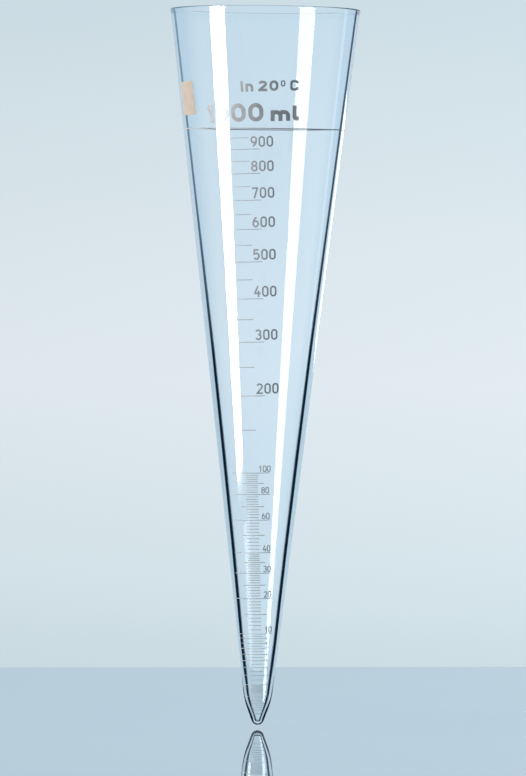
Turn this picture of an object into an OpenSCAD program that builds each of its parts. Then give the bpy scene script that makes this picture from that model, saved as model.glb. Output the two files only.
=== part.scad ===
// One litre settling cone: a closed glass cone with its volume scale fired on
// as thin enamel. Heights are worked out upwards from the bottom of the tip.
// The finished model is then lowered, so that its origin lies on the axis in
// the plane where the ring of a rack carries the cone. The scale faces -Y.

/* [Cone] */
// Height over all, from the bottom of the tip to the top of the rim
cone_height = 455; // [430:1:480]
// Angle between the side wall and the axis, in degrees
side_angle = 6.67; // [6.3:0.01:7.2]
// Thickness of the side wall at the shoulder above the tip
wall_at_shoulder = 2.9; // [2.6:0.05:3.4]
// Thickness of the side wall a quarter of the way from the shoulder to the rim
wall_at_quarter = 3.65; // [2.9:0.05:3.8]
// Thickness of the side wall half way up
wall_at_half = 2.85; // [2.6:0.05:3.6]
// Thickness of the side wall three quarters of the way up
wall_at_three_quarters = 3.05; // [2.2:0.05:3.4]
// Thickness of the side wall at the rim
wall_at_rim = 1.7; // [1.4:0.05:2.8]
// Distance by which the fire-polished rim swells out beyond either side of the wall
rim_swell = 0.15; // [0.1:0.05:0.6]

/* [Tip] */
// Angle between the outside of the tip and the axis, in degrees
tip_angle = 20; // [18:0.5:23]
// Height at which the lines of the tip and the side wall meet
shoulder_height = 16; // [14:0.1:20]
// Radius of the rounded end of the tip, outside
tip_radius = 4.1; // [3.2:0.1:4.8]
// Radius of the soft bend from the tip to the side wall, outside
shoulder_bend = 50; // [25:1:55]
// Thickness of the glass under the lowest point of the inside
tip_floor = 2.6; // [2.2:0.1:3.5]
// Radius of the rounded end of the tip, inside
inner_tip_radius = 2.1; // [1.6:0.1:2.5]
// Angle between the inside of the tip and the axis, in degrees
inner_tip_angle = 19; // [17:0.5:22]
// Radius of the soft bend from the tip to the side wall, inside
inner_bend = 40; // [20:1:44]

/* [Rack] */
// Radius of the rack ring that carries the cone
rack_ring_radius = 50; // [30:1:54]

/* [Enamel] */
// Thickness of the fired enamel
enamel_thickness = 0.08; // [0.06:0.01:0.15]
// Width of a scale line from ten millilitres upwards
line_width = 0.4; // [0.25:0.01:0.5]
// Width of a scale line below ten millilitres
fine_line_width = 0.28; // [0.2:0.01:0.35]
// Width of the ring line that goes all round
ring_line_width = 0.58; // [0.3:0.01:0.8]
// Distance of the ring line below the exact height of its volume
ring_line_drop = 0.9; // [0:0.1:1.5]
// Lean to the left of the whole print against the axis, in degrees
scale_lean = 1.95; // [0:0.05:3]

/* [Scale, upper lines] */
// Left end of every upper line, from the middle of the scale
upper_left = 9.3; // [7:0.1:12]
// Right end of a numbered upper line
upper_long_right = 9.8; // [7:0.1:12]
// Right end of an upper line between two numbered ones
upper_short_right = 3.4; // [1:0.1:4]

/* [Scale, lower lines] */
// Left end of a long line, from the middle of the scale
long_left = 14; // [11:0.1:16]
// Right end of a long line
long_right = 11.3; // [9:0.1:13]
// Half of a medium line's length
medium_half = 7.4; // [5:0.1:9]
// Half of a short line's length
short_half = 3.9; // [2:0.1:4.5]
// Right end of a numbered line below ten millilitres
unit_right = 5.9; // [4:0.1:6.5]
// Right end of a half millilitre line
half_right = 4.7; // [2:0.1:5]

/* [Numbers] */
// Height of the numbers from 200 upwards
big_height = 6.8; // [5.5:0.1:7.5]
// Width of one of those digits
big_width = 4.1; // [3:0.1:4.3]
// Pitch of those digits
big_pitch = 5.0; // [4.7:0.1:6]
// Stroke of those digits
big_stroke = 1.05; // [0.6:0.01:1.1]
// Middle of those numbers, from the middle of the scale
big_middle = 11.3; // [9:0.1:13]
// Gap between such a number and its line
big_gap = 1.2; // [0.6:0.1:2]
// Height of the numbers from 10 to 100
small_height = 4.1; // [3.2:0.1:4.5]
// Width of one of those digits
small_width = 2.35; // [1.8:0.05:2.45]
// Pitch of those digits
small_pitch = 2.65; // [2.6:0.05:3.2]
// Stroke of those digits
small_stroke = 0.58; // [0.35:0.01:0.62]
// Middle of those numbers, from the middle of the scale
small_middle = 8.3; // [6.5:0.1:9]
// Gap between such a number and its line
small_gap = 0.6; // [0.4:0.1:1]
// Height of the digits from 1 to 9, level with their lines
unit_height = 1.7; // [1.4:0.1:2]
// Width of one of those digits
unit_width = 1.1; // [0.8:0.05:1.3]
// Stroke of those digits
unit_stroke = 0.28; // [0.2:0.01:0.3]
// Gap between such a digit and the end of its line
unit_gap = 0.5; // [0.3:0.1:1]

/* [Lettering] */
// Height of the digits of the capacity
capacity_height = 11.5; // [8:0.1:12.5]
// Width of one of those digits
capacity_width = 9.5; // [7.6:0.1:9.8]
// Pitch of those digits
capacity_pitch = 11.0; // [10.5:0.1:12]
// Stroke of the capacity
capacity_stroke = 2.6; // [1.2:0.1:2.8]
// Height of the letter m
m_height = 6.8; // [5:0.1:7.5]
// Width of the letter m
m_width = 12.4; // [11.6:0.1:13]
// Height of the letter l
l_height = 9.4; // [8:0.1:11.5]
// Width of the letter l over its foot
l_width = 4.2; // [3.8:0.1:4.8]
// Middle of the last digit, from the front of the cone
capacity_middle = -5; // [-8:0.1:0]
// Gap between the capacity and the ring line under it
capacity_gap = 3.9; // [2:0.1:6]
// Height of the temperature lettering
temperature_height = 6.6; // [6.5:0.1:7.5]
// Width of one of its digits
temperature_width = 5.6; // [4.5:0.1:5.9]
// Stroke of the temperature lettering
temperature_stroke = 1.6; // [0.8:0.1:1.7]
// Gap between the last digit and the letter m
m_gap = 4.2; // [3:0.1:6]
// Gap between the letters m and l
l_gap = 1.5; // [1:0.1:3]
// Left edge of the temperature lettering, from the front of the cone
temperature_left = -14.8; // [-20:0.1:-10]
// Gap between two of its figures
temperature_letter_gap = 1.4; // [1:0.1:2]
// Gap between two of its words
temperature_word_gap = 3; // [2:0.1:4]
// Width of the letter n
n_width = 4.9; // [4.5:0.1:5.2]
// Height of the letter n
n_height = 5; // [4:0.1:6]
// Width of the degree sign
degree_width = 3; // [2.4:0.1:3.5]
// Height of the degree sign
degree_height = 4; // [3:0.1:4.5]
// Stroke of the degree sign
degree_stroke = 0.9; // [0.5:0.1:1]
// Gap between the temperature lettering and the capacity under it
temperature_gap = 7.1; // [4:0.1:9]

/* [Writing field] */
// Height of the matt field for writing on
field_height = 21; // [15:1:26]
// Angle that the field takes up round the cone, in degrees
field_angle = 20; // [14:1:30]
// Angle from the front of the cone to the middle of the field
field_turn = -65; // [-90:1:-55]
// Radius of the field's corners
field_corner = 2; // [1:0.1:5]
// Height of the field's lower edge above the ring line
field_gap = 9.9; // [4:0.1:12]

/* [Hidden] */
$fn = 144;

// Running gap that keeps the enamel's own solid off the glass
enamel_gap = 0.02;
// Steps in each rounded stretch of the cone's outline
bend_steps = 8;
// Turn between two points of a rounded stroke, in degrees
pen_turn = 15;
// Cubic millimetres in a millilitre
ml = 1000;
// Volume at the ring line, in millilitres
capacity = 1000;
// Step of the upper lines, in millilitres
upper_step = 50;
// Volume at the lowest numbered line of the upper scale
upper_start = 100;
// Direction of the scale, round the axis from +X
front = -90;

glass_colour = [0.74, 0.87, 0.94, 0.45];
enamel_colour = [0.45, 0.45, 0.46];
field_colour = [0.84, 0.78, 0.72];

// The outline

function unit(v) = v / norm(v);
function reversed(points) = [for (i = [1 : len(points)]) points[len(points) - i]];

// Points of a rounded corner between the lines from a to corner and on to b
function bend(a, corner, b, radius) =
    let (
        back = unit(a - corner),
        on = unit(b - corner),
        half = acos(back * on) / 2,
        centre = corner + unit(back + on) * radius / sin(half),
        from = corner + back * radius / tan(half) - centre,
        to = corner + on * radius / tan(half) - centre,
        start = atan2(from.y, from.x),
        turn = atan2(from.x * to.y - from.y * to.x, from * to)
    )
    [for (i = [0 : bend_steps]) let (a = start + turn * i / bend_steps) centre + radius * [cos(a), sin(a)]];

// Points of a rounded end on the axis, up to where a cone of that half angle leaves it
function round_end(bottom, radius, angle) =
    [for (i = [0 : bend_steps])
        let (a = (90 - angle) * i / bend_steps)
        [radius * sin(a), bottom + radius * (1 - cos(a))]];

// Height at which a cone that touches a rounded end would come to a point
function apex(bottom, radius, angle) = bottom + radius - radius / sin(angle);

// Outer lines, as [radius, height]
shoulder = [(shoulder_height - apex(0, tip_radius, tip_angle)) * tan(tip_angle), shoulder_height];
rim = shoulder + (cone_height - shoulder_height) * [tan(side_angle), 1];
outer_outline = concat(
    round_end(0, tip_radius, tip_angle),
    bend([0, apex(0, tip_radius, tip_angle)], shoulder, rim, shoulder_bend),
    [rim]
);

// Inner lines: the side wall is set in from the outer one by its thickness at five even heights
walls = [wall_at_shoulder, wall_at_quarter, wall_at_half, wall_at_three_quarters, wall_at_rim];
inner_side = [
    for (i = [0 : len(walls) - 1])
        shoulder + (rim - shoulder) * i / (len(walls) - 1) - [walls[i] / cos(side_angle), 0]
];
inner_low = inner_side[0];
inner_slope = (inner_side[1].x - inner_low.x) / (inner_side[1].y - inner_low.y);
inner_apex = apex(tip_floor, inner_tip_radius, inner_tip_angle);
inner_shoulder_height = (inner_low.x - inner_slope * inner_low.y + inner_apex * tan(inner_tip_angle))
    / (tan(inner_tip_angle) - inner_slope);
inner_shoulder = [(inner_shoulder_height - inner_apex) * tan(inner_tip_angle), inner_shoulder_height];
inner_outline = concat(
    round_end(tip_floor, inner_tip_radius, inner_tip_angle),
    bend([0, inner_apex], inner_shoulder, inner_side[1], inner_bend),
    [for (i = [1 : len(walls) - 1]) inner_side[i]]
);

function below_rim(outline) = [for (p = outline) if (p.y < cone_height) p];

// Outer and inner radius at a height
outer_table = [for (p = outer_outline) [p.y, p.x]];
inner_table = [for (p = inner_outline) [p.y, p.x]];
function outer_radius(z) = lookup(z, outer_table);
function inner_radius(z) = lookup(z, inner_table);

// Height at which the rack ring sits
seat_height = shoulder.y + (rack_ring_radius - shoulder.x) / tan(side_angle);

// The volumes

// Volume of the slice of cone between two points of the inner outline
function slice(a, b) = PI / 3 * (b.y - a.y) * (a.x * a.x + a.x * b.x + b.x * b.x);

// Volume below each point of the inner outline
volumes = [
    for (
        i = 0, v = 0;
        i < len(inner_outline);
        v = v + (i + 1 < len(inner_outline) ? slice(inner_outline[i], inner_outline[i + 1]) : 0),
        i = i + 1
    ) v
];

// Height to which a volume fills the cone: within one slice the radius grows
// evenly, so the cube of the radius grows with the volume
function fill_height(volume) =
    let (
        i = max([for (j = [0 : len(volumes) - 2]) volumes[j] <= volume * ml ? j : 0]),
        a = inner_outline[i],
        b = inner_outline[i + 1],
        slope = (b.x - a.x) / (b.y - a.y),
        radius = pow(pow(a.x, 3) + 3 * slope * (volume * ml - volumes[i]) / PI, 1 / 3)
    )
    a.y + (radius - a.x) / slope;

// Middle of the printed scale at a height, as a length round the cone
function scale_middle(z) = -z * tan(scale_lean);

// The print is square to its leaning middle, so what lies to the right of it is raised
function raised(z, length) = z + (length - scale_middle(z)) * tan(scale_lean);

// Angle round the axis of a length round the cone, counted from the front
function round_angle(length, radius) = front + length / radius * 180 / PI;

// Outline of a thin skin on the cone between two heights
function skin(low, high) =
    let (heights = concat([low], [for (p = outer_outline) if (p.y > low && p.y < high) p.y], [high]))
    concat(
        [for (z = heights) [outer_radius(z) + enamel_gap, z]],
        reversed([for (z = heights) [outer_radius(z) + enamel_gap + enamel_thickness, z]])
    );

// The pen strokes of the digits and letters

function arc(x, y, rx, ry, from, to) =
    let (steps = ceil(abs(to - from) / pen_turn))
    [for (i = [0 : steps])
        let (a = from + (to - from) * i / steps)
        [x + rx * cos(a), y + ry * sin(a)]];

// Edge of a stroke, at a signed distance from its path, with mitred corners
function stroke_edge(path, distance) =
    let (last = len(path) - 1)
    [for (i = [0 : last])
        let (
            before = unit(i > 0 ? path[i] - path[i - 1] : path[1] - path[0]),
            after = unit(i < last ? path[i + 1] - path[i] : path[last] - path[last - 1]),
            middle = unit(before + after)
        )
        path[i] + distance / (middle * before) * [-middle.y, middle.x]];

module stroke(path, width) {
    edge = stroke_edge(path, width / 2);
    other = stroke_edge(path, -width / 2);
    polygon(concat(edge, reversed(other)));
}

// Leaves out each point of a closed path that lies on the one before it
function distinct(path) =
    let (count = len(path), touching = 0.001)
    [for (i = [0 : count - 1]) if (norm(path[i] - path[(i + count - 1) % count]) > touching) path[i]];

// Rounded box, w wide and h high, its lower left corner at x, y
function rounded_box(x, y, w, h, corner) =
    let (r = min(corner, w / 2, h / 2))
    distinct(concat(
        arc(x + w - r, y + h - r, r, r, 0, 90),
        arc(x + r, y + h - r, r, r, 90, 180),
        arc(x + r, y + r, r, r, 180, 270),
        arc(x + w - r, y + r, r, r, 270, 360)
    ));

// Rounded box grown on all sides by a distance, or shrunk by a negative one
function grown_box(x, y, w, h, corner, by) =
    rounded_box(x - by, y - by, w + 2 * by, h + 2 * by, min(corner, w / 2, h / 2) + by);

// Outline of a six without its counter: a stem that bends over to the right, on a bowl
function six_outline(w, h, bowl, corner, half) =
    let (
        centre = [w * 0.97, bowl - corner],
        inside = [centre.x - half, h - centre.y - half],
        outside = [centre.x + half, h - centre.y + half],
        join = 180 - asin((bowl + half - centre.y) / inside.y),
        end = 105
    )
    concat(
        arc(centre.x, centre.y, outside.x, outside.y, end, 180),
        arc(corner, corner, corner + half, corner + half, 180, 270),
        arc(w - corner, corner, corner + half, corner + half, 270, 360),
        arc(w - corner, bowl - corner, corner + half, corner + half, 0, 90),
        arc(centre.x, centre.y, inside.x, inside.y, join, end)
    );

// Cuts off the point of a sharp corner that stands out to the left of a digit
module cut_left(half, reach) {
    intersection() {
        children();
        translate([-half, -reach])
            square(3 * reach);
    }
}

// One digit, its strokes' middles in a box w by h with its lower left corner at the origin.
// Decimal fractions are shares of that box, and whole numbers in an arc are degrees.
module digit(d, w, h, width, corner) {
    half = width / 2;
    if (d == 0) difference() {
        polygon(grown_box(0, 0, w, h, corner, half));
        polygon(grown_box(0, 0, w, h, corner, -half));
    }
    if (d == 1) {
        stroke([[w * 0.58, -half], [w * 0.58, h + half]], width);
        stroke([[w * 0.58, h], [w * 0.06, h * 0.74]], width);
    }
    if (d == 2) cut_left(half, h + width)
        stroke(concat(arc(w / 2, h * 0.74, w / 2, h * 0.26, 165, -38), [[0, 0], [w + half, 0]]), width);
    if (d == 3) {
        stroke(arc(w * 0.48, h * 0.76, w * 0.46, h * 0.24, 155, -88), width);
        stroke(arc(w / 2, h * 0.27, w / 2, h * 0.27, 88, -155), width);
    }
    if (d == 4) {
        cut_left(half, h + width)
            stroke([[w * 0.62, h + half], [0, h * 0.3], [w + half, h * 0.3]], width);
        stroke([[w * 0.76, h * 0.58], [w * 0.76, -half]], width);
    }
    if (d == 5) stroke(
        concat(
            [[w * 0.94, h], [w * 0.08, h], [w * 0.04, h * 0.55]],
            arc(w / 2, h * 0.31, w / 2, h * 0.31, 100, -155)
        ),
        width);
    if (d == 6 || d == 9) {
        bowl = h * 0.6;
        bowl_corner = min(w, bowl) * 0.48;
        translate(d == 6 ? [0, 0] : [w, h])
            rotate(d == 6 ? 0 : 180)
                difference() {
                    polygon(six_outline(w, h, bowl, bowl_corner, half));
                    polygon(grown_box(0, 0, w, bowl, bowl_corner, -half));
                }
    }
    if (d == 7) stroke([[-half / 2, h], [w, h], [w * 0.34, -half]], width);
    if (d == 8) {
        waist = h * 0.53;
        difference() {
            union() {
                polygon(grown_box(0, 0, w, waist, w, half));
                polygon(grown_box(w * 0.05, waist, w * 0.9, h - waist, w, half));
            }
            polygon(grown_box(0, 0, w, waist, w, -half));
            polygon(grown_box(w * 0.05, waist, w * 0.9, h - waist, w, -half));
        }
    }
}

// Digit at a place in a number, counted from the left
function digit_at(number, place, count) = floor(number / pow(10, count - 1 - place)) % 10;
function digit_count(number) = number >= 1000 ? 4 : number >= 100 ? 3 : number >= 10 ? 2 : 1;

// A number with its middle at the origin and its foot on the x axis
module flat_number(number, width, height, pitch, pen, corner) {
    count = digit_count(number);
    for (i = [0 : count - 1])
        translate([(i - (count - 1) / 2) * pitch - (width - pen) / 2, pen / 2])
            digit(digit_at(number, i, count), width - pen, height - pen, pen, corner);
}

// The pieces

// Carries what is drawn flat on to the cone, square to the leaning scale: x runs round it and y up
// it. The foot of the drawing would meet the scale's middle at height z, and the drawing is kept
// between two heights counted from its own foot.
module print_on_cone(z, length, low, high) {
    foot = raised(z, length);
    radius = outer_radius(z);
    intersection() {
        rotate([0, 0, round_angle(length, radius) - front])
            translate([0, -radius / 2, foot])
                rotate([90, 0, 0])
                    linear_extrude(radius)
                        rotate(scale_lean)
                            children();
        rotate_extrude()
            polygon(skin(foot + low, foot + high));
    }
}

// One scale line, between two lengths round the cone from the middle of the scale: what a flat,
// leaning slab cuts out of the skin
module scale_line(z, left, right, width) {
    radius = outer_radius(z);
    middle = round_angle(scale_middle(z), radius);
    turn = 180 / PI / radius;
    reach = min(max(left, right), radius) * tan(scale_lean) + width;
    intersection() {
        rotate_extrude(start = middle - left * turn, angle = (left + right) * turn)
            polygon(skin(z - reach, z + reach));
        rotate([0, 0, middle - front])
            translate([0, 0, z])
                rotate([0, -scale_lean, 0])
                    cube([4 * radius, 4 * radius, width], center = true);
    }
}

// Everything is drawn upwards from the tip and lowered to the rack ring
module seated() {
    translate([0, 0, -seat_height])
        children();
}

module glass_cone() {
    half_wall = wall_at_rim / 2 / cos(side_angle);
    bead_radius = half_wall + rim_swell;
    bead = [rim.x - half_wall, cone_height - bead_radius];
    wall_top = bead.y - bead_radius / 4;
    outer_edge = rim.x - (cone_height - wall_top) * tan(side_angle);
    inner_edge = inner_radius(wall_top);
    color(glass_colour) seated()
        rotate_extrude() {
            polygon(concat(
                below_rim(outer_outline),
                [[outer_edge, wall_top], bead, [inner_edge, wall_top]],
                reversed(below_rim(inner_outline))
            ));
            translate(bead)
                circle(bead_radius);
        }
}

module ring_line() {
    low = ring_line_height - ring_line_width / 2;
    color(enamel_colour) seated()
        rotate_extrude()
            polygon(skin(low, low + ring_line_width));
}

// Left and right ends of the lower lines
long_line = [long_left, long_right];
medium_line = [medium_half, medium_half];
short_line = [short_half, short_half];
unit_line = [long_left, unit_right];
half_line = [short_half, half_right];

// Lines from one volume up to another, in millilitres, with the ends of each kind
module lower_lines(
    from, to, step, medium_every, long_every,
    long = long_line, medium = medium_line, short = short_line, width = line_width
) {
    color(enamel_colour) seated()
        for (i = [round(from / step) : round(to / step)]) {
            is_long = i % round(long_every / step) == 0;
            is_medium = i % round(medium_every / step) == 0;
            ends = is_long ? long : is_medium ? medium : short;
            scale_line(fill_height(i * step), ends[0], ends[1], width);
        }
}

module lines_100_to_950() {
    color(enamel_colour) seated()
        for (volume = [upper_start + upper_step : upper_step : capacity - upper_step])
            scale_line(
                fill_height(volume),
                upper_left,
                volume % (2 * upper_step) == 0 ? upper_long_right : upper_short_right,
                line_width
            );
}

module lines_40_to_100() {
    lower_lines(from = 42, to = 100, step = 2, medium_every = 10, long_every = 20);
}

module lines_10_to_40() {
    lower_lines(from = 11, to = 40, step = 1, medium_every = 5, long_every = 10);
}

module lines_2_to_10() {
    lower_lines(
        from = 2.5, to = 10, step = 0.5, medium_every = 1, long_every = 10,
        medium = unit_line, short = half_line, width = fine_line_width
    );
}

module lines_0_to_2() {
    lower_lines(
        from = 0.1, to = 2, step = 0.1, medium_every = 0.5, long_every = 1,
        long = unit_line, medium = half_line, width = fine_line_width
    );
}

module big_number(number) {
    z = fill_height(number) + big_gap;
    color(enamel_colour) seated()
        print_on_cone(z, scale_middle(z) + big_middle, -big_gap / 2, big_height + big_gap)
            flat_number(number, big_width, big_height, big_pitch, big_stroke, big_width);
}

module small_number(number) {
    z = fill_height(number) + small_gap;
    color(enamel_colour) seated()
        print_on_cone(z, scale_middle(z) + small_middle, -small_gap / 2, small_height + small_gap)
            flat_number(number, small_width, small_height, small_pitch, small_stroke, small_width);
}

// A digit level with its line, just past the line's right end
module unit_digit(number) {
    z = fill_height(number) - unit_height / 2;
    length = scale_middle(z) + unit_right + unit_gap + unit_width / 2;
    color(enamel_colour) seated()
        print_on_cone(z, length, -unit_gap, unit_height + unit_gap)
            flat_number(number, unit_width, unit_height, unit_width, unit_stroke, unit_width);
}

// Right half of an arch and the leg under it, from one stem's middle to the next
function arch_outside(left, span, height, pen, from) =
    let (bow = span / 2)
    concat(
        arc(left + bow, height - pen / 2 - bow, bow + pen / 2, bow + pen / 2, from, 0),
        [[left + span + pen / 2, 0]]
    );
function arch_inside(left, span, height, pen) =
    let (bow = span / 2)
    concat(
        [[left + span - pen / 2, 0]],
        arc(left + bow, height - pen / 2 - bow, bow - pen / 2, bow - pen / 2, 0, 90),
        [[left + pen / 2, height - pen], [left + pen / 2, 0]]
    );

// Small letter n, its foot on the x axis and its middle at the origin
module letter_n(width, height, pen) {
    span = width - pen;
    polygon(concat(
        [[-width / 2, 0], [-width / 2, height]],
        arch_outside(-span / 2, span, height, pen, 90),
        arch_inside(-span / 2, span, height, pen)
    ));
}

// Small letter m: two arches, the first one cut off at the middle stem
module letter_m(width, height, pen) {
    span = (width - pen) / 2;
    first = arch_outside(-span, span, height, pen, 90);
    reach = [for (p = first) if (p.x < 0) p];
    polygon(concat(
        [[-width / 2, 0], [-width / 2, height]],
        reach,
        [[0, height - pen / 3], [0, height]],
        arch_outside(0, span, height, pen, 90),
        arch_inside(0, span, height, pen),
        arch_inside(-span, span, height, pen)
    ));
}

// Small letter l with its foot turned to the right
module letter_l(width, height, pen) {
    bow = pen * 0.6;
    left = (pen - width) / 2;
    low = pen / 2;
    stroke(
        concat([[left, height]], arc(left + bow, low + bow, bow, bow, 180, 270), [[width / 2, low]]),
        pen);
}

// Capital C. Its corners and the ends of its stroke are set by shares of its width and height.
module letter_c(width, height, pen) {
    w = width - pen;
    h = height - pen;
    open = h * 0.27;
    r = min(w * 0.3, open * 0.8);
    translate([-w / 2, pen / 2])
        stroke(concat(
            [[w, h - open]],
            arc(w - r, h - r, r, r, 0, 90),
            arc(r, h - r, r, r, 90, 180),
            arc(r, r, r, r, 180, 270),
            arc(w - r, r, r, r, 270, 360),
            [[w, open]]
        ), pen);
}

// Corner radius of the square-built lettering, as a share of a figure's width
squareness = 0.36;

ring_line_height = fill_height(capacity) - ring_line_drop;
capacity_foot = ring_line_height + capacity_gap;

// One figure of the capacity, its middle at a length round the cone from the front
module capacity_figure(length) {
    print_on_cone(capacity_foot, length, -capacity_gap / 2, capacity_height + capacity_gap / 2)
        children();
}

module capacity_lettering() {
    corner = capacity_width * squareness;
    one_width = capacity_width * 0.75;
    m_middle = capacity_middle + capacity_width / 2 + m_gap + m_width / 2;
    l_middle = m_middle + (m_width + l_width) / 2 + l_gap;
    color(enamel_colour) seated() {
        for (i = [0 : 2])
            capacity_figure(capacity_middle - i * capacity_pitch)
                flat_number(0, capacity_width, capacity_height, capacity_pitch, capacity_stroke, corner);
        capacity_figure(capacity_middle - 3 * capacity_pitch + capacity_width - one_width)
            flat_number(1, one_width, capacity_height, capacity_pitch, capacity_stroke, corner);
        capacity_figure(m_middle)
            letter_m(m_width, m_height, capacity_stroke);
        capacity_figure(l_middle)
            letter_l(l_width, l_height, capacity_stroke);
    }
}

temperature_foot = capacity_foot + capacity_height + temperature_gap;

// Widths of the figures in "In 20 °C" and the gaps that follow them
figure_widths = [
    temperature_stroke, n_width, temperature_width, temperature_width, degree_width, temperature_width
];
figure_gaps = [
    temperature_letter_gap, temperature_word_gap, temperature_letter_gap, temperature_letter_gap,
    temperature_word_gap
];
function figure_left(i) =
    i == 0 ? temperature_left : figure_left(i - 1) + figure_widths[i - 1] + figure_gaps[i - 1];

// One figure of the temperature lettering, counted from the left
module temperature_figure(i) {
    middle = figure_left(i) + figure_widths[i] / 2;
    print_on_cone(temperature_foot, middle, -temperature_gap / 3, temperature_height + temperature_gap / 3)
        children();
}

// The usual words for a measure that is made to contain its volume at 20 degrees
module temperature_lettering() {
    w = temperature_width;
    h = temperature_height;
    pen = temperature_stroke;
    corner = w * squareness;
    color(enamel_colour) seated() {
        temperature_figure(0)
            translate([-pen / 2, 0])
                square([pen, h]);
        temperature_figure(1)
            letter_n(n_width, n_height, pen);
        temperature_figure(2)
            flat_number(2, w, h, w, pen, corner);
        temperature_figure(3)
            flat_number(0, w, h, w, pen, corner);
        temperature_figure(4)
            translate([0, h - degree_height])
                flat_number(0, degree_width, degree_height, degree_width, degree_stroke, degree_width);
        temperature_figure(5)
            letter_c(w, h, pen);
    }
}

module writing_field() {
    z = ring_line_height + field_gap;
    radius = outer_radius(z);
    width = 2 * radius * sin(field_angle / 2);
    color(field_colour) seated()
        print_on_cone(z, field_turn * PI / 180 * radius, -field_corner, field_height + field_corner)
            polygon(rounded_box(-width / 2, 0, width, field_height, field_corner));
}

glass_cone();
ring_line();  // ring_line_1000
capacity_lettering();
temperature_lettering();
writing_field();
lines_100_to_950();
lines_40_to_100();
lines_10_to_40();
lines_2_to_10();
lines_0_to_2();
big_number(900);  // number_900
big_number(800);  // number_800
big_number(700);  // number_700
big_number(600);  // number_600
big_number(500);  // number_500
big_number(400);  // number_400
big_number(300);  // number_300
big_number(200);  // number_200
small_number(100);  // number_100
small_number(80);  // number_80
small_number(60);  // number_60
small_number(40);  // number_40
small_number(30);  // number_30
small_number(20);  // number_20
small_number(10);  // number_10
unit_digit(9);  // digit_9
unit_digit(8);  // digit_8
unit_digit(7);  // digit_7
unit_digit(6);  // digit_6
unit_digit(5);  // digit_5
unit_digit(4);  // digit_4
unit_digit(3);  // digit_3
unit_digit(2);  // digit_2
unit_digit(1);  // digit_1
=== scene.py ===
# %% [markdown]
# # A glass settling cone in Blender
#
# A settling cone is a tall glass funnel with a closed tip. Dirty water stands in
# it for an hour, the matter sinks into the narrow tip, and the volume scale on
# the outside tells how much there is. It is almost all glass, so this lesson is
# mostly about making clear glass look like glass: thick, bright inside, with a
# thin dark line where its inner wall ends, painted in as shade.
#
# The imported CAD model is loaded first, as a fixed frame. All lengths are metres.

# %% Load the frame
import math

import bpy
import numpy as np
from mathutils import Euler, Matrix, Vector


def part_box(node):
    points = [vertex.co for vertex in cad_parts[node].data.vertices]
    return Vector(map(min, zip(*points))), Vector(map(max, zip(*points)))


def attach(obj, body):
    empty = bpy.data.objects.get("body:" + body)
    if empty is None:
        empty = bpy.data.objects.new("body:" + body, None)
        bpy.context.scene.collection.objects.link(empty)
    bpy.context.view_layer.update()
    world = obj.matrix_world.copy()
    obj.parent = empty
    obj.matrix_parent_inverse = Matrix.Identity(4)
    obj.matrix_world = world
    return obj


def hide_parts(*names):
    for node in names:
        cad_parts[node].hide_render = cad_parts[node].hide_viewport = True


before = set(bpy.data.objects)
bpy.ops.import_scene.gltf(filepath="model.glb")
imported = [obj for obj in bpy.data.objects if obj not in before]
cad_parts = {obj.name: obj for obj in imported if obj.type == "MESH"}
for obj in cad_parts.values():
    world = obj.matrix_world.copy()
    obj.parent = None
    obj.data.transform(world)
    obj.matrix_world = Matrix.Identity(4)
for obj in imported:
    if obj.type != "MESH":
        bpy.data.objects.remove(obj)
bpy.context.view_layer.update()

MM = 0.001
tip_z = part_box("glass_cone")[0].z
rim_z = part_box("glass_cone")[1].z
cone_height = rim_z - tip_z
print("cone height in mm:", round(cone_height / MM, 2))


# %% [markdown]
# ## The camera
#
# The scale faces -Y, so the reader stands there, and so does the camera. The
# cone was seen from a good way off and a little above its middle, so that the
# rim shows as a thin ellipse. A short lens close by would show the same parts,
# but spread the rim and shrink the tip. A long lens from far away gives the flat
# perspective of the picture. The camera is rolled by a little, because the cone
# hangs slightly out of plumb there.

# %% Camera
EYE_DISTANCE = 2.6
EYE_HEIGHT = 0.340
AIM_HEIGHT = 0.2151
AIM_RIGHT = 0.0011
ROLL_DEG = 0.63
LENS_MM = 190.0
SENSOR_MM = 36
NEAREST = 0.1
FARTHEST = 50

eye = Vector((AIM_RIGHT, -EYE_DISTANCE, tip_z + EYE_HEIGHT))
aim = Vector((AIM_RIGHT, 0, tip_z + AIM_HEIGHT))
camera_data = bpy.data.cameras.new("camera")
camera_data.lens = LENS_MM
camera_data.sensor_width = SENSOR_MM
camera_data.clip_start = NEAREST
camera_data.clip_end = FARTHEST
camera = bpy.data.objects.new("camera", camera_data)
look = (aim - eye).to_track_quat("-Z", "Y").to_matrix()
roll = Matrix.Rotation(math.radians(ROLL_DEG), 3, "Z")
camera.matrix_world = Matrix.Translation(eye) @ (look @ roll).to_4x4()
bpy.context.scene.collection.objects.link(camera)
bpy.context.scene.camera = camera
bpy.context.scene.view_settings.view_transform = "Standard"
print("camera pitch in degrees:", round(math.degrees(math.atan2(aim.z - eye.z, EYE_DISTANCE)), 2))


# %% [markdown]
# ## A profile turned round the axis
#
# A blown vessel is round, so its surface is a profile turned round the axis. A
# Screw modifier could turn a drawn curve. Here numpy does it, because the
# profile is worked out from the cone's sizes. Each point of it becomes a ring of
# vertices, and all rings are worked out in one go. The same quads join ring to
# ring, so the faces are worked out as one array too.

# %% Mesh helpers
def new_mesh(name, points, faces, smooth=True):
    """Object with these vertices and faces, linked to the scene."""
    mesh = bpy.data.meshes.new(name)
    mesh.from_pydata(points.tolist(), [], faces)
    mesh.update()
    mesh.polygons.foreach_set("use_smooth", [smooth] * len(mesh.polygons))
    made = bpy.data.objects.new(name, mesh)
    bpy.context.scene.collection.objects.link(made)
    return made


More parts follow.
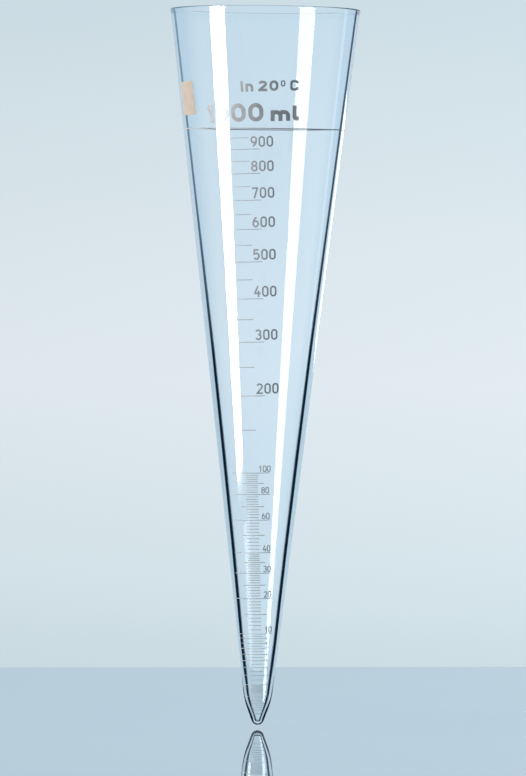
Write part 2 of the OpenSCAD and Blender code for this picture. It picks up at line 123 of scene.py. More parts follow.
def turned(name, profile, segments):
    """Turns a profile of [radius, height] rows round Z: x = r cos a, y = r sin a, z = h.

    The first and last rows lie on the axis, and each is closed with a fan of triangles."""
    angle = np.arange(segments) / segments * 2 * math.pi
    rings = profile[1:-1]
    r, h = rings[:, :1], rings[:, 1:]
    points = np.stack([r * np.cos(angle), r * np.sin(angle), h + 0 * angle], axis=-1).reshape(-1, 3)
    row = np.arange(len(rings) - 1)[:, None] * segments
    here = np.arange(segments)
    there = (here + 1) % segments
    quads = np.stack([row + here, row + there, row + segments + there, row + segments + here], axis=-1)
    first, last = len(points), len(points) + 1
    points = np.vstack([points, [0, 0, profile[0, 1]], [0, 0, profile[-1, 1]]])
    end = (len(rings) - 1) * segments
    faces = quads.reshape(-1, 4).tolist()
    faces += np.stack([there, here, here * 0 + first], axis=-1).tolist()
    faces += np.stack([end + here, end + there, here * 0 + last], axis=-1).tolist()
    return new_mesh(name, points, faces)


# %% [markdown]
# ## The glass
#
# The real cone is blown in one piece. Its outside rises from a rounded tip,
# bends softly into the side wall and ends in a fire-polished rim. The inside
# does the same with its own, sharper tip, so the glass is thick at the bottom.
# Blown glass is never even: the side wall is thickest a quarter of the way up
# and thins out towards the rim.
#
# The CAD solid has this form too, but its mesh is cut into flat strips, and
# glass shows each one. Smooth shading wouldn't hide them, because the outline
# stays cornered. So the profile is worked out again from the same sizes, with
# many more points, and turned in fine steps.

# %% Sizes of the glass
SIDE_ANGLE = math.radians(6.67)
WALLS = np.array([2.9, 3.65, 2.85, 3.05, 1.7]) * MM
WALL_EASE = 30 * MM
SHOULDER_HEIGHT = 16 * MM
SHOULDER_BEND = 50 * MM
TIP_RADIUS = 4.1 * MM
TIP_ANGLE = math.radians(20)
TIP_FLOOR = 2.6 * MM
INNER_TIP_RADIUS = 2.1 * MM
INNER_TIP_ANGLE = math.radians(19)
INNER_BEND = 40 * MM
print("wall in mm, evenly spaced from the shoulder to the rim:", (WALLS / MM).round(2))


# %% [markdown]
# Three kinds of line make up the profile: a rounded end on the axis, a straight
# wall, and a soft bend from one wall into the next. A Bevel modifier could round
# the corners. Here each bend is an arc that touches both of its walls, as in the
# CAD model, so both models have the same outline.

# %% Ends, bends and walls
def unit(v):
    """The vector at length one."""
    return v / np.linalg.norm(v)


def rounded_end(bottom, radius, angle, steps=14):
    """Arc from the lowest point on the axis to where a cone of that half angle leaves it."""
    a = np.linspace(0, math.pi / 2 - angle, steps)
    return np.column_stack([radius * np.sin(a), bottom + radius * (1 - np.cos(a))])


def apex(bottom, radius, angle):
    """Height at which the cone that touches a rounded end would come to a point."""
    return bottom + radius - radius / math.sin(angle)


def soft_bend(before, corner, after, radius, steps=18):
    """Arc of that radius that touches both lines which meet at a corner.

    Its centre lies on the line that halves the corner's angle. The arc turns round it from the point
    where it touches the first line to the one where it touches the second."""
    back, on = unit(before - corner), unit(after - corner)
    half = math.acos(back @ on) / 2
    centre = corner + unit(back + on) * radius / math.sin(half)
    a = corner + back * radius / math.tan(half) - centre
    b = corner + on * radius / math.tan(half) - centre
    turn = math.atan2(a[0] * b[1] - a[1] * b[0], a @ b)
    t = math.atan2(a[1], a[0]) + np.linspace(0, turn, steps)
    return centre + radius * np.column_stack([np.cos(t), np.sin(t)])


def straight(start, end, steps, close=0.1 * MM):
    """Points between two ends, without the ends.

    The first and the last lie close to them, and keep the soft shading of the next bend off the wall."""
    near = close / np.linalg.norm(end - start)
    t = np.concatenate([[near], np.linspace(0, 1, steps + 2)[1:-1], [1 - near]])[:, None]
    return start + (end - start) * t


# %% [markdown]
# The outside runs straight from the shoulder to the rim. The inside lies as far
# within it as the wall is thick, so it wavers by up to a millimetre, and that
# shows in glass. Its lowest stretch is carried down to where it meets the cone
# of the inner tip, and the bend there rounds the corner off.

# %% Outer and inner profile
AVERAGED_POINTS = 21

tip_apex = apex(0, TIP_RADIUS, TIP_ANGLE)
shoulder = np.array([(SHOULDER_HEIGHT - tip_apex) * math.tan(TIP_ANGLE), SHOULDER_HEIGHT])
rim = shoulder + (cone_height - SHOULDER_HEIGHT) * np.array([math.tan(SIDE_ANGLE), 1])


def inner_wall(height):
    """Rows of [radius, height] on the inside of the side wall.

    Its thickness runs straight from each of the even-spaced WALLS to the next. It is averaged over
    a stretch of height, which gets shorter towards both ends, so that no kink shows."""
    reach = np.minimum(height - SHOULDER_HEIGHT, cone_height - height).clip(0, WALL_EASE)
    nearby = height[:, None] + reach[:, None] * np.linspace(-1, 1, AVERAGED_POINTS)
    thickness = np.interp(nearby, np.linspace(SHOULDER_HEIGHT, cone_height, len(WALLS)), WALLS).mean(1)
    outside = shoulder[0] + (height - SHOULDER_HEIGHT) * math.tan(SIDE_ANGLE)
    return np.column_stack([outside - thickness / math.cos(SIDE_ANGLE), height])


inner_low, inner_on = inner_wall(SHOULDER_HEIGHT + np.array([0, WALL_EASE]))
wall_slope = (inner_on[0] - inner_low[0]) / (inner_on[1] - inner_low[1])
tip_slope = math.tan(INNER_TIP_ANGLE)
inner_apex = apex(TIP_FLOOR, INNER_TIP_RADIUS, INNER_TIP_ANGLE)
corner_height = (inner_low[0] - wall_slope * inner_low[1] + inner_apex * tip_slope) / (tip_slope - wall_slope)
inner_corner = np.array([(corner_height - inner_apex) * tip_slope, corner_height])

outer = np.vstack([
    rounded_end(0, TIP_RADIUS, TIP_ANGLE),
    soft_bend(np.array([0, tip_apex]), shoulder, rim, SHOULDER_BEND),
])
inner = np.vstack([
    rounded_end(TIP_FLOOR, INNER_TIP_RADIUS, INNER_TIP_ANGLE),
    soft_bend(np.array([0, inner_apex]), inner_corner, inner_on, INNER_BEND),
])
print("shoulder, [radius, height] in mm:", (shoulder / MM).round(2))
print("rim, [radius, height] in mm:", (rim / MM).round(2))


# %% [markdown]
# The rim was melted round in a flame and swelled by a hair. A torus could be set
# on top, but its joint would show as a line in clear glass, so the rim is part
# of the profile. It is half a circle round the middle of the wall. Just under it
# both sides of the wall move out along half a wave, which is level at both ends,
# so that no crease shows. The rim swells a hair less than the CAD model's, so
# that this rounder mesh comes out as wide as that model's coarser one.

# %% Rim
RIM_SWELL = 0.12 * MM
RIM_EASE = 2.5 * MM
RIM_EASE_STEPS = 10
RIM_ARC_POINTS = 24

half_wall = WALLS[-1] / 2 / math.cos(SIDE_ANGLE)
rim_radius = half_wall + RIM_SWELL
rim_middle = np.array([rim[0] - half_wall, cone_height - rim_radius])
around = np.linspace(0, math.pi, RIM_ARC_POINTS)
rim_arc = rim_middle + rim_radius * np.column_stack([np.cos(around), np.sin(around)])


def swollen(rows, side):
    """Moves wall rows out by the rim's swell: side is 1 for the outside and -1 for the inside."""
    below = ((rim_middle[1] - rows[:, 1]) / RIM_EASE).clip(0, 1)
    return rows + np.column_stack([side * RIM_SWELL * (1 + np.cos(math.pi * below)) / 2, 0 * below])


print("rim thickness in mm:", round(2 * rim_radius / MM, 2))


# %% [markdown]
# The rows are put in one order now: up the outside, over the rim and down the
# inside. Turned that way the faces point out of the glass on both sides, which a
# glass shader needs to know where a ray goes in and where it comes out. The
# inside gets more rings than the outside, because it wavers.

# %% Blown cone
GLASS_SEGMENTS = 256
OUTSIDE_RINGS = 24
INSIDE_RINGS = 48


def wall_heights(start, rings):
    """Heights of a wall's rings from the end of its bend to the rim, close together where it swells."""
    swelling = rim_middle[1] - np.linspace(1, 1 / RIM_EASE_STEPS, RIM_EASE_STEPS) * RIM_EASE
    heights = np.concatenate([straight(start, rim, rings)[:, 1], swelling])
    return np.sort(heights[heights < rim_middle[1]])


outside_heights = wall_heights(outer[-1], OUTSIDE_RINGS)
outside = np.column_stack([rim[0] - (cone_height - outside_heights) * math.tan(SIDE_ANGLE), outside_heights])
inside = inner_wall(wall_heights(inner[-1], INSIDE_RINGS))
profile = np.vstack([outer, swollen(outside, 1), rim_arc, swollen(inside, -1)[::-1], inner[::-1]])
glass = turned("blown_glass_cone", profile + [0, tip_z], GLASS_SEGMENTS)
glass_box = np.array(glass.bound_box)
print("glass box in mm:", (glass_box.min(0) / MM).round(2), (glass_box.max(0) / MM).round(2))
print("faces:", len(glass.data.polygons))


# %% [markdown]
# ## Node helpers
#
# A material is a small graph of nodes. These helpers add a node, set its sockets
# and wire it, so that each material below reads as a list of steps. A colour
# that is to be seen just as it is written is given in screen levels, as in a
# paint program. A shader counts light instead, so the levels are turned into it.

# %% Node helpers
def linear(*levels):
    """Scene colour of a colour that is written in screen levels from 0 to 255: the sRGB curve undone."""
    c = np.array(levels) / 255
    c = np.where(c <= 0.04045, c / 12.92, ((c + 0.055) / 1.055) ** 2.4)
    return (*[float(x) for x in c], 1.0)


def new_material(name):
    """Empty node material and its output node."""
    made = bpy.data.materials.new(name)
    made.use_nodes = True
    made.node_tree.nodes.clear()
    return made, made.node_tree.nodes.new("ShaderNodeOutputMaterial")


def wire(tree, output, socket):
    """Joins an output to a socket."""
    tree.links.new(output, socket)


def add(tree, kind, inputs=None, **settings):
    """Adds a node. A value in inputs is either a plain value or another node's output to wire in."""
    node = tree.nodes.new(kind)
    for key, value in settings.items():
        setattr(node, key, value)
    for key, value in (inputs or {}).items():
        if isinstance(value, bpy.types.NodeSocket):
            wire(tree, value, node.inputs[key])
        else:
            node.inputs[key].default_value = value
    return node


# %% [markdown]
# Where a line lies in the glass is worked out by sums of nodes. Written out, each
# would fill several lines, so the sums that come back have a name of their own.
# Each helper gives back an output, ready to wire into the next one.

# %% Sums of nodes
def maths(tree, operation, a, b=0.0):
    """Output of one Math node."""
    return add(tree, "ShaderNodeMath", {0: a, 1: b}, operation=operation).outputs[0]


def product(tree, first, *others):
    """Output of Math nodes that multiply all the values."""
    for other in others:
        first = maths(tree, "MULTIPLY", first, other)
    return first


def one_minus(tree, value):
    """Output of a Math node that takes the value from one."""
    return maths(tree, "SUBTRACT", 1.0, value)


def sine_from(tree, cosine):
    """Output of the sine that belongs to a cosine: the root of one less its square."""
    return maths(tree, "SQRT", one_minus(tree, product(tree, cosine, cosine)))


def spread(tree, value, low, high, to_low, to_high, kind="SMOOTHSTEP"):
    """Output of a Map Range node, which turns low to high into to_low to to_high."""
    inputs = {"Value": value, "From Min": low, "From Max": high, "To Min": to_low, "To Max": to_high}
    return add(tree, "ShaderNodeMapRange", inputs, interpolation_type=kind).outputs["Result"]


# The Mix node has sockets for each kind of value. These are the ones for colours.
MIX_FIRST = 6
MIX_SECOND = 7
MIX_RESULT = 2


def blend(tree, factor, first, second, how="MIX"):
    """Colour output that goes from the first colour to the second, or lays the second on the first."""
    inputs = {0: factor, MIX_FIRST: first, MIX_SECOND: second}
    return add(tree, "ShaderNodeMix", inputs, data_type="RGBA", blend_type=how).outputs[MIX_RESULT]


def noise(tree, scale, detail):
    """Output of a noise pattern that is fixed to the piece, with spots of about one metre by scale."""
    place = add(tree, "ShaderNodeTexCoord").outputs["Object"]
    return add(tree, "ShaderNodeTexNoise", {"Vector": place, "Scale": scale, "Detail": detail}).outputs["Fac"]


# %% [markdown]
# ## The glass material
#
# Clear glass is a Principled shader with full transmission. The light from the
# backdrop crosses the wall twice, behind and in front, and is faintly blue then.
# The blue is deeper towards the sides, where it runs a longer way through glass.
#
# A glass cone on a pale table has a dark line down both sides, where its inner
# wall is seen edge on. There the light is bent so far aside that the eye looks
# into the dark of the room. Black cards beside the cone could do the same here,
# but only for one place of the camera. The room is left pale all round, so that
# the cone looks right from every side. The dark is painted into the glass
# material instead: a painted shade, a dark emission laid over the glass where the
# line belongs.
#
# Layer Weight gives the cosine between the ray and the wall, and the sine s
# follows from it. The ray then passes the axis at the distance r s, with r the
# wall's radius, so r (1 - s) tells how far inside its seen edge the wall is met.
# To know that at the point's own height takes one more step: only the level part
# of the wall's direction counts, so the cosine is divided by it.
#
# Blender turns the normal towards the viewer. Where it points away from the axis
# and the ray comes through air, the ray meets the outer wall. The painted dark
# line is put there, because what the outer wall mirrors would make it grey if it
# were on the inner wall.

# %% Edge of a round wall
def wall_seen(tree):
    """Outputs that tell how a ray meets the round wall.

    side runs from -1 at the reader's left to 1 at the right, up is 1 where the wall faces up,
    from_side is how far the point lies inside the seen edge at its height, from_air is 1 for a ray
    that comes through air, and outer is 1 where such a ray meets the outer wall."""
    place = add(tree, "ShaderNodeTexCoord").outputs["Object"]
    across, away, height = add(tree, "ShaderNodeSeparateXYZ", {0: place}).outputs
    flat = add(tree, "ShaderNodeCombineXYZ", {0: across, 1: away}).outputs[0]
    radius = add(tree, "ShaderNodeVectorMath", {0: flat}, operation="LENGTH").outputs["Value"]
    geometry = add(tree, "ShaderNodeNewGeometry").outputs
    normal = geometry["True Normal"]
    up = add(tree, "ShaderNodeSeparateXYZ", {0: normal}).outputs[2]
    along = add(tree, "ShaderNodeVectorMath", {0: normal, 1: flat}, operation="DOT_PRODUCT")
    outwards = maths(tree, "GREATER_THAN", along.outputs["Value"], 0.0)
    from_air = one_minus(tree, geometry["Backfacing"])
    facing = add(tree, "ShaderNodeLayerWeight", {"Blend": 0.5}).outputs["Facing"]
    cosine = one_minus(tree, facing)
    level_cosine = maths(tree, "DIVIDE", cosine, sine_from(tree, up))
    return {
        "side": maths(tree, "DIVIDE", across, radius),
        "height": height,
        "radius": radius,
        "up": up,
        "sine": sine_from(tree, cosine),
        "from_side": product(tree, radius, one_minus(tree, sine_from(tree, level_cosine))),
        "from_air": from_air,
        "outer": product(tree, outwards, from_air),
    }


# %% [markdown]
# The painted dark line is a painted shade. It lies as far inside the edge as the
# wall is thick there, a little less low down. Below it is nearly black and two
# millimetres wide. Towards the wide rim it gets thinner and paler, most of all on
# the left. At the tip it is thin again and closes under the inside like a U.
#
# How far in and how wide it is changes with the height, so both are given as
# short lists of points, which a Float Curve joins with straight lines. That
# curve runs from 0 to 1 only, so heights and values go in as shares.

# %% Painted shade line along the inner wall
LINE_PLACE = (
    (0, 1.8), (3, 1.85), (5, 2.1), (7.5, 2.2), (10, 2.25), (17, 2.0), (28, 1.9), (35, 1.65),
    (54, 1.5), (80, 1.9), (112, 2.3), (175, 2.7), (240, 2.95), (302, 2.7), (359, 2.4), (455, 1.75),
)
LINE_WIDTH = (
    (0, 0.55), (5, 0.57), (10, 0.8), (17, 1.35), (28, 1.45), (35, 1.8), (80, 2.0), (175, 2.1),
    (240, 1.9), (334, 1.3), (455, 1.2),
)
LINE_BEGINS = (-0.15, 0.15)
LINE_ENDS = (0.7, 1.3)
INNER_TIP_DROP = 0.65 * MM
CURVE_TOP_MM = 10


def along_height(tree, wall, points):
    """Output in metres of a curve through points of height over the tip and value, both in millimetres.

    A new point of the curve starts in the middle, and is then moved to its place."""
    last_height = points[-1][0]
    share = spread(tree, wall["height"], tip_z, tip_z + last_height * MM, 0.0, 1.0, "LINEAR")
    node = add(tree, "ShaderNodeFloatCurve", {"Value": share})
    curve = node.mapping.curves[0]
    while len(curve.points) < len(points):
        curve.points.new(0.5, 0.5)
    for point, (height, value) in zip(curve.points, points):
        point.location = (height / last_height, value / CURVE_TOP_MM)
        point.handle_type = "VECTOR"
    node.mapping.update()
    return product(tree, node.outputs[0], CURVE_TOP_MM * MM)


def painted_line_along_edge(tree, wall):
    """How dark the painted shade band is where the inner wall is seen edge on. It is soft towards the inside.

    Under the tip of the inside the band is closed by the height over the glass's lowest point."""
    over_tip = maths(tree, "SUBTRACT", wall["height"], tip_z + INNER_TIP_DROP)
    within = maths(tree, "MINIMUM", wall["from_side"], over_tip)
    depth = maths(tree, "SUBTRACT", within, along_height(tree, wall, LINE_PLACE))
    share = maths(tree, "DIVIDE", depth, along_height(tree, wall, LINE_WIDTH))
    begun = spread(tree, share, *LINE_BEGINS, 0.0, 1.0)
    not_ended = spread(tree, share, *LINE_ENDS, 1.0, 0.0)
    return product(tree, begun, not_ended, wall["outer"])


# %% [markdown]
# At the tip the outer wall gets a painted dark outline too, a painted shade, with
# bright glass between it and the inner line. A ball-round end has no edge at its
# pole, so the radius isn't taken smaller than the ball's there. The top of the
# rim is drawn by such a painted outline as well, strongest at both sides.

# %% Painted shade outlines of the tip and the rim
TIP_OUTLINE = ((0, 0.75), (3, 1.0), (5, 1.15), (11, 1.1), (17, 0.66), (21, 0.54), (25, 0.4), (34, 0.2))
TIP_OUTLINE_ENDS = (0.8, 1.2)
TIP_OUTLINE_FADES = (tip_z + 20 * MM, tip_z + 40 * MM)
RIM_GRAZING = (0.55, 0.95)
RIM_FACING_UP = (0.2, 0.8)
RIM_TOP = (rim_z - rim_radius, rim_z - 0.8 * rim_radius)
RIM_SIDES = (0.6, 0.95)
RIM_FRONT_STRENGTH = 0.4


def painted_outline_round_tip(tree, wall):
    """How dark the painted shade outline round the tip is. It gets thinner and fades towards the side wall.
    """
    radius = maths(tree, "MAXIMUM", wall["radius"], TIP_RADIUS)
    from_edge = product(tree, radius, one_minus(tree, wall["sine"]))
    share = maths(tree, "DIVIDE", from_edge, along_height(tree, wall, TIP_OUTLINE))
    not_ended = spread(tree, share, *TIP_OUTLINE_ENDS, 1.0, 0.0)
    fading = spread(tree, wall["height"], *TIP_OUTLINE_FADES, 1.0, 0.0)
    return product(tree, not_ended, fading, wall["outer"])


def painted_outline_on_rim(tree, wall):
    """How dark the painted shade outline along the top of the rim is."""
    grazing = spread(tree, wall["sine"], *RIM_GRAZING, 0.0, 1.0)
    facing_up = spread(tree, wall["up"], *RIM_FACING_UP, 0.0, 1.0)
    on_top = spread(tree, wall["height"], *RIM_TOP, 0.0, 1.0)
    at_sides = spread(tree, maths(tree, "ABSOLUTE", wall["side"]), *RIM_SIDES, RIM_FRONT_STRENGTH, 1.0)
    return product(tree, grazing, facing_up, on_top, at_sides, wall["from_air"])


# %% [markdown]
# The painted dark lines are laid over the clear glass as plain colour. They are a
# dark emission that stands in for shade, with the strongest one on top. Cycles
# finds a lamp through bending glass only by chance, which would leave the print
# behind it dark and grainy. So for a lamp's ray the glass is a thin, faintly
# tinted sheet instead.

# %% Clear glass with painted shade lines
GLASS_IOR = 1.473
CLEAR_BLUE = (0.95, 0.985, 1.0, 1.0)
DEEP_BLUE = (0.46, 0.655, 0.80, 1.0)
DEEP_BLUE_FROM = 0.70
# Colours of the painted shade lines: nearly black low down, and paler towards the rim, more so on the left.
PAINTED_SHADE_LOW = linear(6, 28, 46)
PAINTED_SHADE_HIGH_LEFT = linear(118, 150, 174)
PAINTED_SHADE_HIGH_RIGHT = linear(72, 92, 108)
PAINTED_SHADE_PALES = (tip_z + 0.235, tip_z + 0.43)
LEFT_TO_RIGHT = (-0.5, 0.5)
LAMP_TINT = (0.8, 0.86, 0.9, 1.0)


def glass_with_painted_shade():
    """Faintly blue glass with painted dark lines, a painted shade, along its inner wall, its tip and its rim.
    """
    made, output = new_material("glass_with_painted_shade")
    tree = made.node_tree
    wall = wall_seen(tree)
    # Where the painted shade goes: the dark lines along the inner wall, round the tip and on the rim.
    painted_shade = painted_line_along_edge(tree, wall)
    for line in (painted_outline_round_tip(tree, wall), painted_outline_on_rim(tree, wall)):
        painted_shade = maths(tree, "MAXIMUM", painted_shade, line)
    to_right = spread(tree, wall["side"], *LEFT_TO_RIGHT, 0.0, 1.0)
    painted_shade_high = blend(tree, to_right, PAINTED_SHADE_HIGH_LEFT, PAINTED_SHADE_HIGH_RIGHT)
    to_rim = spread(tree, wall["height"], *PAINTED_SHADE_PALES, 0.0, 1.0, "LINEAR")
    painted_shade_colour = blend(tree, to_rim, PAINTED_SHADE_LOW, painted_shade_high)
    # The painted shade itself: an emission in these dark colours, laid over the glass. It is no lamp.
    painted_shade_emission = add(tree, "ShaderNodeEmission", {"Color": painted_shade_colour, "Strength": 1.0})
    away_from_side = spread(tree, wall["sine"], DEEP_BLUE_FROM, 1.0, 1.0, 0.0)
    clear = maths(tree, "MAXIMUM", away_from_side, one_minus(tree, wall["outer"]))
    body = add(tree, "ShaderNodeBsdfPrincipled", {
        "Base Color": blend(tree, clear, DEEP_BLUE, CLEAR_BLUE), "Roughness": 0.0, "IOR": GLASS_IOR,
        "Transmission Weight": 1.0})
    with_painted_shade = add(tree, "ShaderNodeMixShader", {0: painted_shade, 1: body.outputs[0], 2: painted_shade_emission.outputs[0]})
    open_to_lamps = add(tree, "ShaderNodeBsdfTransparent", {"Color": LAMP_TINT})
    lamp_ray = add(tree, "ShaderNodeLightPath").outputs["Is Shadow Ray"]
    whole = add(tree, "ShaderNodeMixShader", {0: lamp_ray, 1: with_painted_shade.outputs[0], 2: open_to_lamps.outputs[0]})
    wire(tree, whole.outputs[0], output.inputs["Surface"])
    return made


glass.data.materials.append(glass_with_painted_shade())
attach(glass, "root")
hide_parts("glass_cone")
print("glass material has", len(glass.data.materials[0].node_tree.nodes), "nodes")


# %% [markdown]
# ## The printed enamel
#
# The scale, the numbers and the lettering are screen-printed with a grey-brown
# enamel and fired on. Fired enamel is never quite even: the screen leaves it a
# little thinner here and there, and it has a soft satin shine. It could be a
# flat pattern in the glass material, but the real print stands up from the glass
# and has edges. The CAD nodes already have the right shapes, so they stay and
# only get a material.
#
# Two noise patterns make it uneven: wide patches and a fine grain.

# %% Fired enamel
MOTTLE_REACH = (0.35, 0.65)
PATCH_SHARE = 0.6
ENAMEL_GREYS = ((0.30, 0.305, 0.31, 1.0), (0.37, 0.375, 0.38, 1.0))
ENAMEL_ROUGHNESS = (0.14, 0.24)
ENAMEL_RELIEF = 0.25
ENAMEL_SHINE = 0.1
GRAIN_HEIGHT = 0.02 * MM


def coated(made, output, colour, roughness, grain, relief):
    """Gives the material a coat of that colour and roughness, raised by the grain."""
    tree = made.node_tree
    bump = add(tree, "ShaderNodeBump", {"Height": grain, "Strength": relief, "Distance": GRAIN_HEIGHT})
    body = add(tree, "ShaderNodeBsdfPrincipled", {
        "Base Color": colour, "Roughness": roughness, "Specular IOR Level": ENAMEL_SHINE,
        "Normal": bump.outputs[0]})
    wire(tree, body.outputs[0], output.inputs["Surface"])
    return made


def fired_enamel():
    """Grey-brown satin enamel, mottled by the screen and slightly uneven in height."""
    made, output = new_material("fired_enamel")
    tree = made.node_tree
    patches = noise(tree, scale=260.0, detail=4.0)
    grain = noise(tree, scale=2600.0, detail=2.0)
    mottle = maths(tree, "ADD", product(tree, patches, PATCH_SHARE), product(tree, grain, 1 - PATCH_SHARE))
    colour = blend(tree, spread(tree, mottle, *MOTTLE_REACH, 0.0, 1.0), *ENAMEL_GREYS)
    roughness = spread(tree, mottle, *MOTTLE_REACH, *ENAMEL_ROUGHNESS)
    return coated(made, output, colour, roughness, grain, ENAMEL_RELIEF)


# %% [markdown]
# The field for writing on is another enamel, pale, matt and slightly pink, with a
# fine tooth that takes pencil. It could be the same material with another
# colour, but the tooth is finer than the grain of the print and scatters the
# light more.

# %% Writing enamel
FIELD_REACH = (0.3, 0.7)
FIELD_TONES = ((0.305, 0.253, 0.212, 1.0), (0.345, 0.285, 0.238, 1.0))
FIELD_ROUGHNESS = (0.8, 0.95)
FIELD_RELIEF = 0.4


def writing_enamel():
    """Matt, pale, slightly pink enamel with a fine tooth that takes pencil."""
    made, output = new_material("writing_enamel")
    tree = made.node_tree
    cloud = noise(tree, scale=120.0, detail=5.0)
    tooth = noise(tree, scale=5200.0, detail=2.0)
    colour = blend(tree, spread(tree, cloud, *FIELD_REACH, 0.0, 1.0), *FIELD_TONES)
    roughness = spread(tree, tooth, *FIELD_REACH, *FIELD_ROUGHNESS)
    return coated(made, output, colour, roughness, tooth, FIELD_RELIEF)


prints = {name: node for name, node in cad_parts.items() if name != "glass_cone"}
line_enamel = fired_enamel()
field_enamel = writing_enamel()
for name, node in prints.items():
    node.data.materials.clear()
    node.data.materials.append(field_enamel if name == "writing_field" else line_enamel)
print("printed pieces:", len(prints))


# %% [markdown]
# ## The table
#
# The cone was photographed just clear of a polished, pale blue plate that
# mirrors its tip, as painted metal under clear lacquer does. The plate ends a
# third of a metre behind the cone. A mirror image could be faked with a second
# cone upside down, but a flat, nearly smooth metal face gives it by itself.

# %% Polish of the plate
PLATE_SIDES = (-0.17, 0.17)
PLATE_LEFT = (linear(192, 209, 217), linear(200, 217, 224))
PLATE_RIGHT = (linear(203, 218, 225), linear(211, 226, 232))
POLISH_REACH = (0.3, 0.7)
POLISH_ROUGHNESS = (0.003, 0.006)
PLATE_METALLIC = 0.75


def polished_plate():
    """Pale blue plate with a clear, slightly uneven polish, a little paler towards the right."""
    made, output = new_material("polished_plate")
    tree = made.node_tree
    cloud = noise(tree, scale=9.0, detail=4.0)
    place = add(tree, "ShaderNodeTexCoord").outputs["Object"]
    across = add(tree, "ShaderNodeSeparateXYZ", {0: place}).outputs[0]
    to_right = spread(tree, across, *PLATE_SIDES, 0.0, 1.0, "LINEAR")
    colour = blend(tree, to_right, blend(tree, cloud, *PLATE_LEFT), blend(tree, cloud, *PLATE_RIGHT))
    roughness = spread(tree, cloud, *POLISH_REACH, *POLISH_ROUGHNESS)
    body = add(tree, "ShaderNodeBsdfPrincipled", {
        "Base Color": colour, "Roughness": roughness, "Metallic": PLATE_METALLIC})
    wire(tree, body.outputs[0], output.inputs["Surface"])
    return made


# %% [markdown]
# The plate itself is one face, turned a little, so that its far edge runs as in
# the picture. The glass isn't to mirror it, so it is hidden from glossy rays.

# %% Table plate
PLATE_BELOW_TIP = 1.8 * MM
PLATE_BACK = 0.33
PLATE_FRONT = -1.6
PLATE_HALF_WIDTH = 1.6
PLATE_TURN_DEG = 6.0

corners = np.array([
    [-PLATE_HALF_WIDTH, PLATE_FRONT, 0], [PLATE_HALF_WIDTH, PLATE_FRONT, 0],
    [PLATE_HALF_WIDTH, PLATE_BACK, 0], [-PLATE_HALF_WIDTH, PLATE_BACK, 0]])
turn = np.array(Matrix.Rotation(math.radians(PLATE_TURN_DEG), 3, "Z"))
plate_points = corners @ turn.T + [0, 0, tip_z - PLATE_BELOW_TIP]
plate = new_mesh("table_plate", plate_points, [[0, 1, 2, 3]], smooth=False)
plate.data.materials.append(polished_plate())
plate.visible_glossy = False
print("plate top in mm under the tip:", PLATE_BELOW_TIP / MM)


# %% [markdown]
# ## The room
#
# The room behind the cone is a pale, cool backdrop, brightest a little under the
# middle. A curved sheet of paper would do, but it would end somewhere. The world
# goes all round and takes its level from the colour alone. Its colours are given
# by how steeply a ray rises, from -1 straight down to 1 straight up.

# %% Backdrop
BACKDROP = (
    (-0.60, linear(200, 217, 224)),
    (-0.113, linear(204, 220, 227)),
    (-0.099, linear(211, 226, 233)),
    (-0.048, linear(224, 234, 240)),
    (-0.020, linear(221, 232, 238)),
    (0.047, linear(205, 221, 229)),
)

world = bpy.data.worlds.new("studio")
bpy.context.scene.world = world
world.use_nodes = True
tree = world.node_tree
tree.nodes.clear()
sky = add(tree, "ShaderNodeTexCoord").outputs["Generated"]
across, _, rise = add(tree, "ShaderNodeSeparateXYZ", {0: sky}).outputs
ramp = add(tree, "ShaderNodeValToRGB", {0: spread(tree, rise, -1, 1, 0, 1, "LINEAR")})
stops = ramp.color_ramp.elements
while len(stops) < len(BACKDROP):
    stops.new(1.0)
for stop, (height, colour) in zip(stops, BACKDROP):
    stop.position = (height + 1) / 2
    stop.color = colour
print("backdrop steps:", len(stops))


# %% [markdown]
# The eye, a mirror and glass see this backdrop, a little bluer in the last two.
# What glass bends down from high overhead is dark, as under a real ceiling. The
# light that falls on the print comes from the world too, but it is set apart
# from the backdrop, so that each has a level of its own. Light Path tells them
# apart.

# %% World
BACKDROP_SIDES = (-0.1, 0.1)
BACKDROP_LEVELS = (0.965, 1.035)
MIRRORED_TINT = (0.98, 1.0, 1.04, 1.0)
DARK_CEILING = linear(30, 42, 60)
CEILING_RISE = (0.5, 0.75)
SKY_LIGHT = (0.265, 0.31, 0.358, 1.0)

rays = add(tree, "ShaderNodeLightPath").outputs
through_glass = maths(tree, "MAXIMUM", rays["Is Glossy Ray"], rays["Is Transmission Ray"])
tinted = blend(tree, through_glass, ramp.outputs[0], MIRRORED_TINT, "MULTIPLY")
ceiling = product(tree, spread(tree, rise, *CEILING_RISE, 0.0, 1.0), rays["Is Transmission Ray"])
room = blend(tree, ceiling, tinted, DARK_CEILING)
looks = maths(tree, "MAXIMUM", rays["Is Camera Ray"], through_glass)
background = add(tree, "ShaderNodeBackground", {
    "Color": blend(tree, looks, SKY_LIGHT, room),
    "Strength": spread(tree, across, *BACKDROP_SIDES, *BACKDROP_LEVELS, "LINEAR")})
wire(tree, background.outputs[0], add(tree, "ShaderNodeOutputWorld").inputs["Surface"])
print("world has", len(tree.nodes), "nodes")


# %% [markdown]
# ## The lamps
#
# Two tall strip lights stand left and right of the reader. Their mirror images
# are the long white bars down both sides of the glass. White bars could be drawn
# into the material, but then they wouldn't move with the eye. Three thin lamps
# fade out the left strip's lower end, and two low ones give a faint glow beside
# the scale near the tip. A narrow strip and a short one further round give the
# faint bar and the bright edge at the right. A wide, warm light from the left is
# the main light on the enamel, which is why the print is lighter at the left. It
# doesn't show in the glass.
#
# The left strip is much the stronger one. Its mirror image in the satin enamel
# is as bright as the one in the glass, so the print vanishes under it. The
# strips are linked to the cone alone, so the polished plate doesn't mirror them.

# %% Lamp helper
shining = bpy.data.collections.new("shining")
for piece in [glass, *prints.values()]:
    shining.objects.link(piece)


def round_axis(angle_deg, distance, height):
    """Point at a distance from the axis, at an angle to the right of the reader, at a height."""
    a = math.radians(angle_deg)
    return Vector((distance * math.sin(a), -distance * math.cos(a), height))


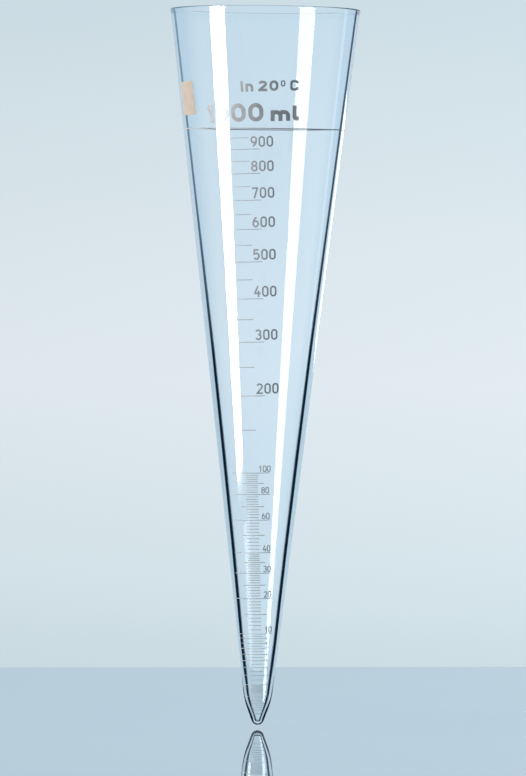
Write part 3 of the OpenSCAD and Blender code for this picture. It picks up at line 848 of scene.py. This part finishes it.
def lamp(name, angle_deg, low, high, width, strength, colour=(1, 1, 1), in_glass=True, distance=1.0):
    """Upright area lamp that faces the axis, from one height to another, as bright as strength says.

    Its power is strength times pi times its area, so that a longer lamp is no dimmer. It is either
    mirrored by the first wall that the eye meets and lights nothing else, or it lights the enamel
    and isn't seen."""
    data = bpy.data.lights.new(name, "AREA")
    data.shape = "RECTANGLE"
    data.size = width
    data.size_y = high - low
    data.energy = strength * math.pi * width * (high - low)
    data.use_nodes = True
    tree = data.node_tree
    behind_glass = add(tree, "ShaderNodeLightPath").outputs["Transmission Depth"]
    shown = spread(tree, behind_glass, 0, 1, 1.0, 0.0 if in_glass else 1.0, "LINEAR")
    tree.nodes["Emission"].inputs["Color"].default_value = (*colour, 1)
    wire(tree, shown, tree.nodes["Emission"].inputs["Strength"])
    made = bpy.data.objects.new(name, data)
    made.location = round_axis(angle_deg, distance, (low + high) / 2)
    made.rotation_euler = Euler((math.pi / 2, 0, math.radians(angle_deg)))
    made.visible_camera = False
    made.visible_transmission = False
    made.visible_glossy = in_glass
    made.visible_diffuse = not in_glass
    if in_glass:
        made.light_linking.receiver_collection = shining
    bpy.context.scene.collection.objects.link(made)


# %% [markdown]
# The wall leans outwards, so it mirrors what lies lower than the point where the
# eye meets it. That is why the left strip ends a hand's breadth under the tip,
# and its image ends well above it.

# %% Lamps
LAMP_TOP = 0.9
LEFT_DEG = -60
STRIP_WIDTH = 0.36
STRIP_LOW = tip_z - 0.11
STRIP_FADE = 7 * MM
STRIP_END_STRENGTHS = (5.0, 2.8, 1.3)
GLOW_DEG = -45
GLOW_LOW = tip_z - 0.3
WARM_WHITE = (1.0, 0.97, 0.93)

lamp("left_strip", LEFT_DEG, STRIP_LOW, LAMP_TOP, STRIP_WIDTH, strength=60.0)
for i, strength in enumerate(STRIP_END_STRENGTHS):
    end_top = STRIP_LOW - i * STRIP_FADE
    lamp(f"left_strip_end_{i}", LEFT_DEG, end_top - STRIP_FADE, end_top, STRIP_WIDTH, strength)
lamp("right_strip", angle_deg=52, low=tip_z - 0.6, high=LAMP_TOP, width=STRIP_WIDTH, strength=11.0)
lamp("low_glow", GLOW_DEG, GLOW_LOW, high=tip_z - 0.182, width=0.2, strength=5.0)
lamp("low_glow_wide", GLOW_DEG, GLOW_LOW, high=tip_z - 0.165, width=0.42, strength=3.0)
lamp("thin_right_strip", angle_deg=114, low=tip_z - 0.3, high=LAMP_TOP, width=0.12, strength=1.0)
lamp("edge_light", angle_deg=153, low=tip_z + 0.146, high=tip_z + 0.368, width=0.28, strength=2.4)
lamp("key", angle_deg=-75, low=-0.5, high=LAMP_TOP, width=1.0, strength=8.1, colour=WARM_WHITE,
     in_glass=False, distance=1.2)
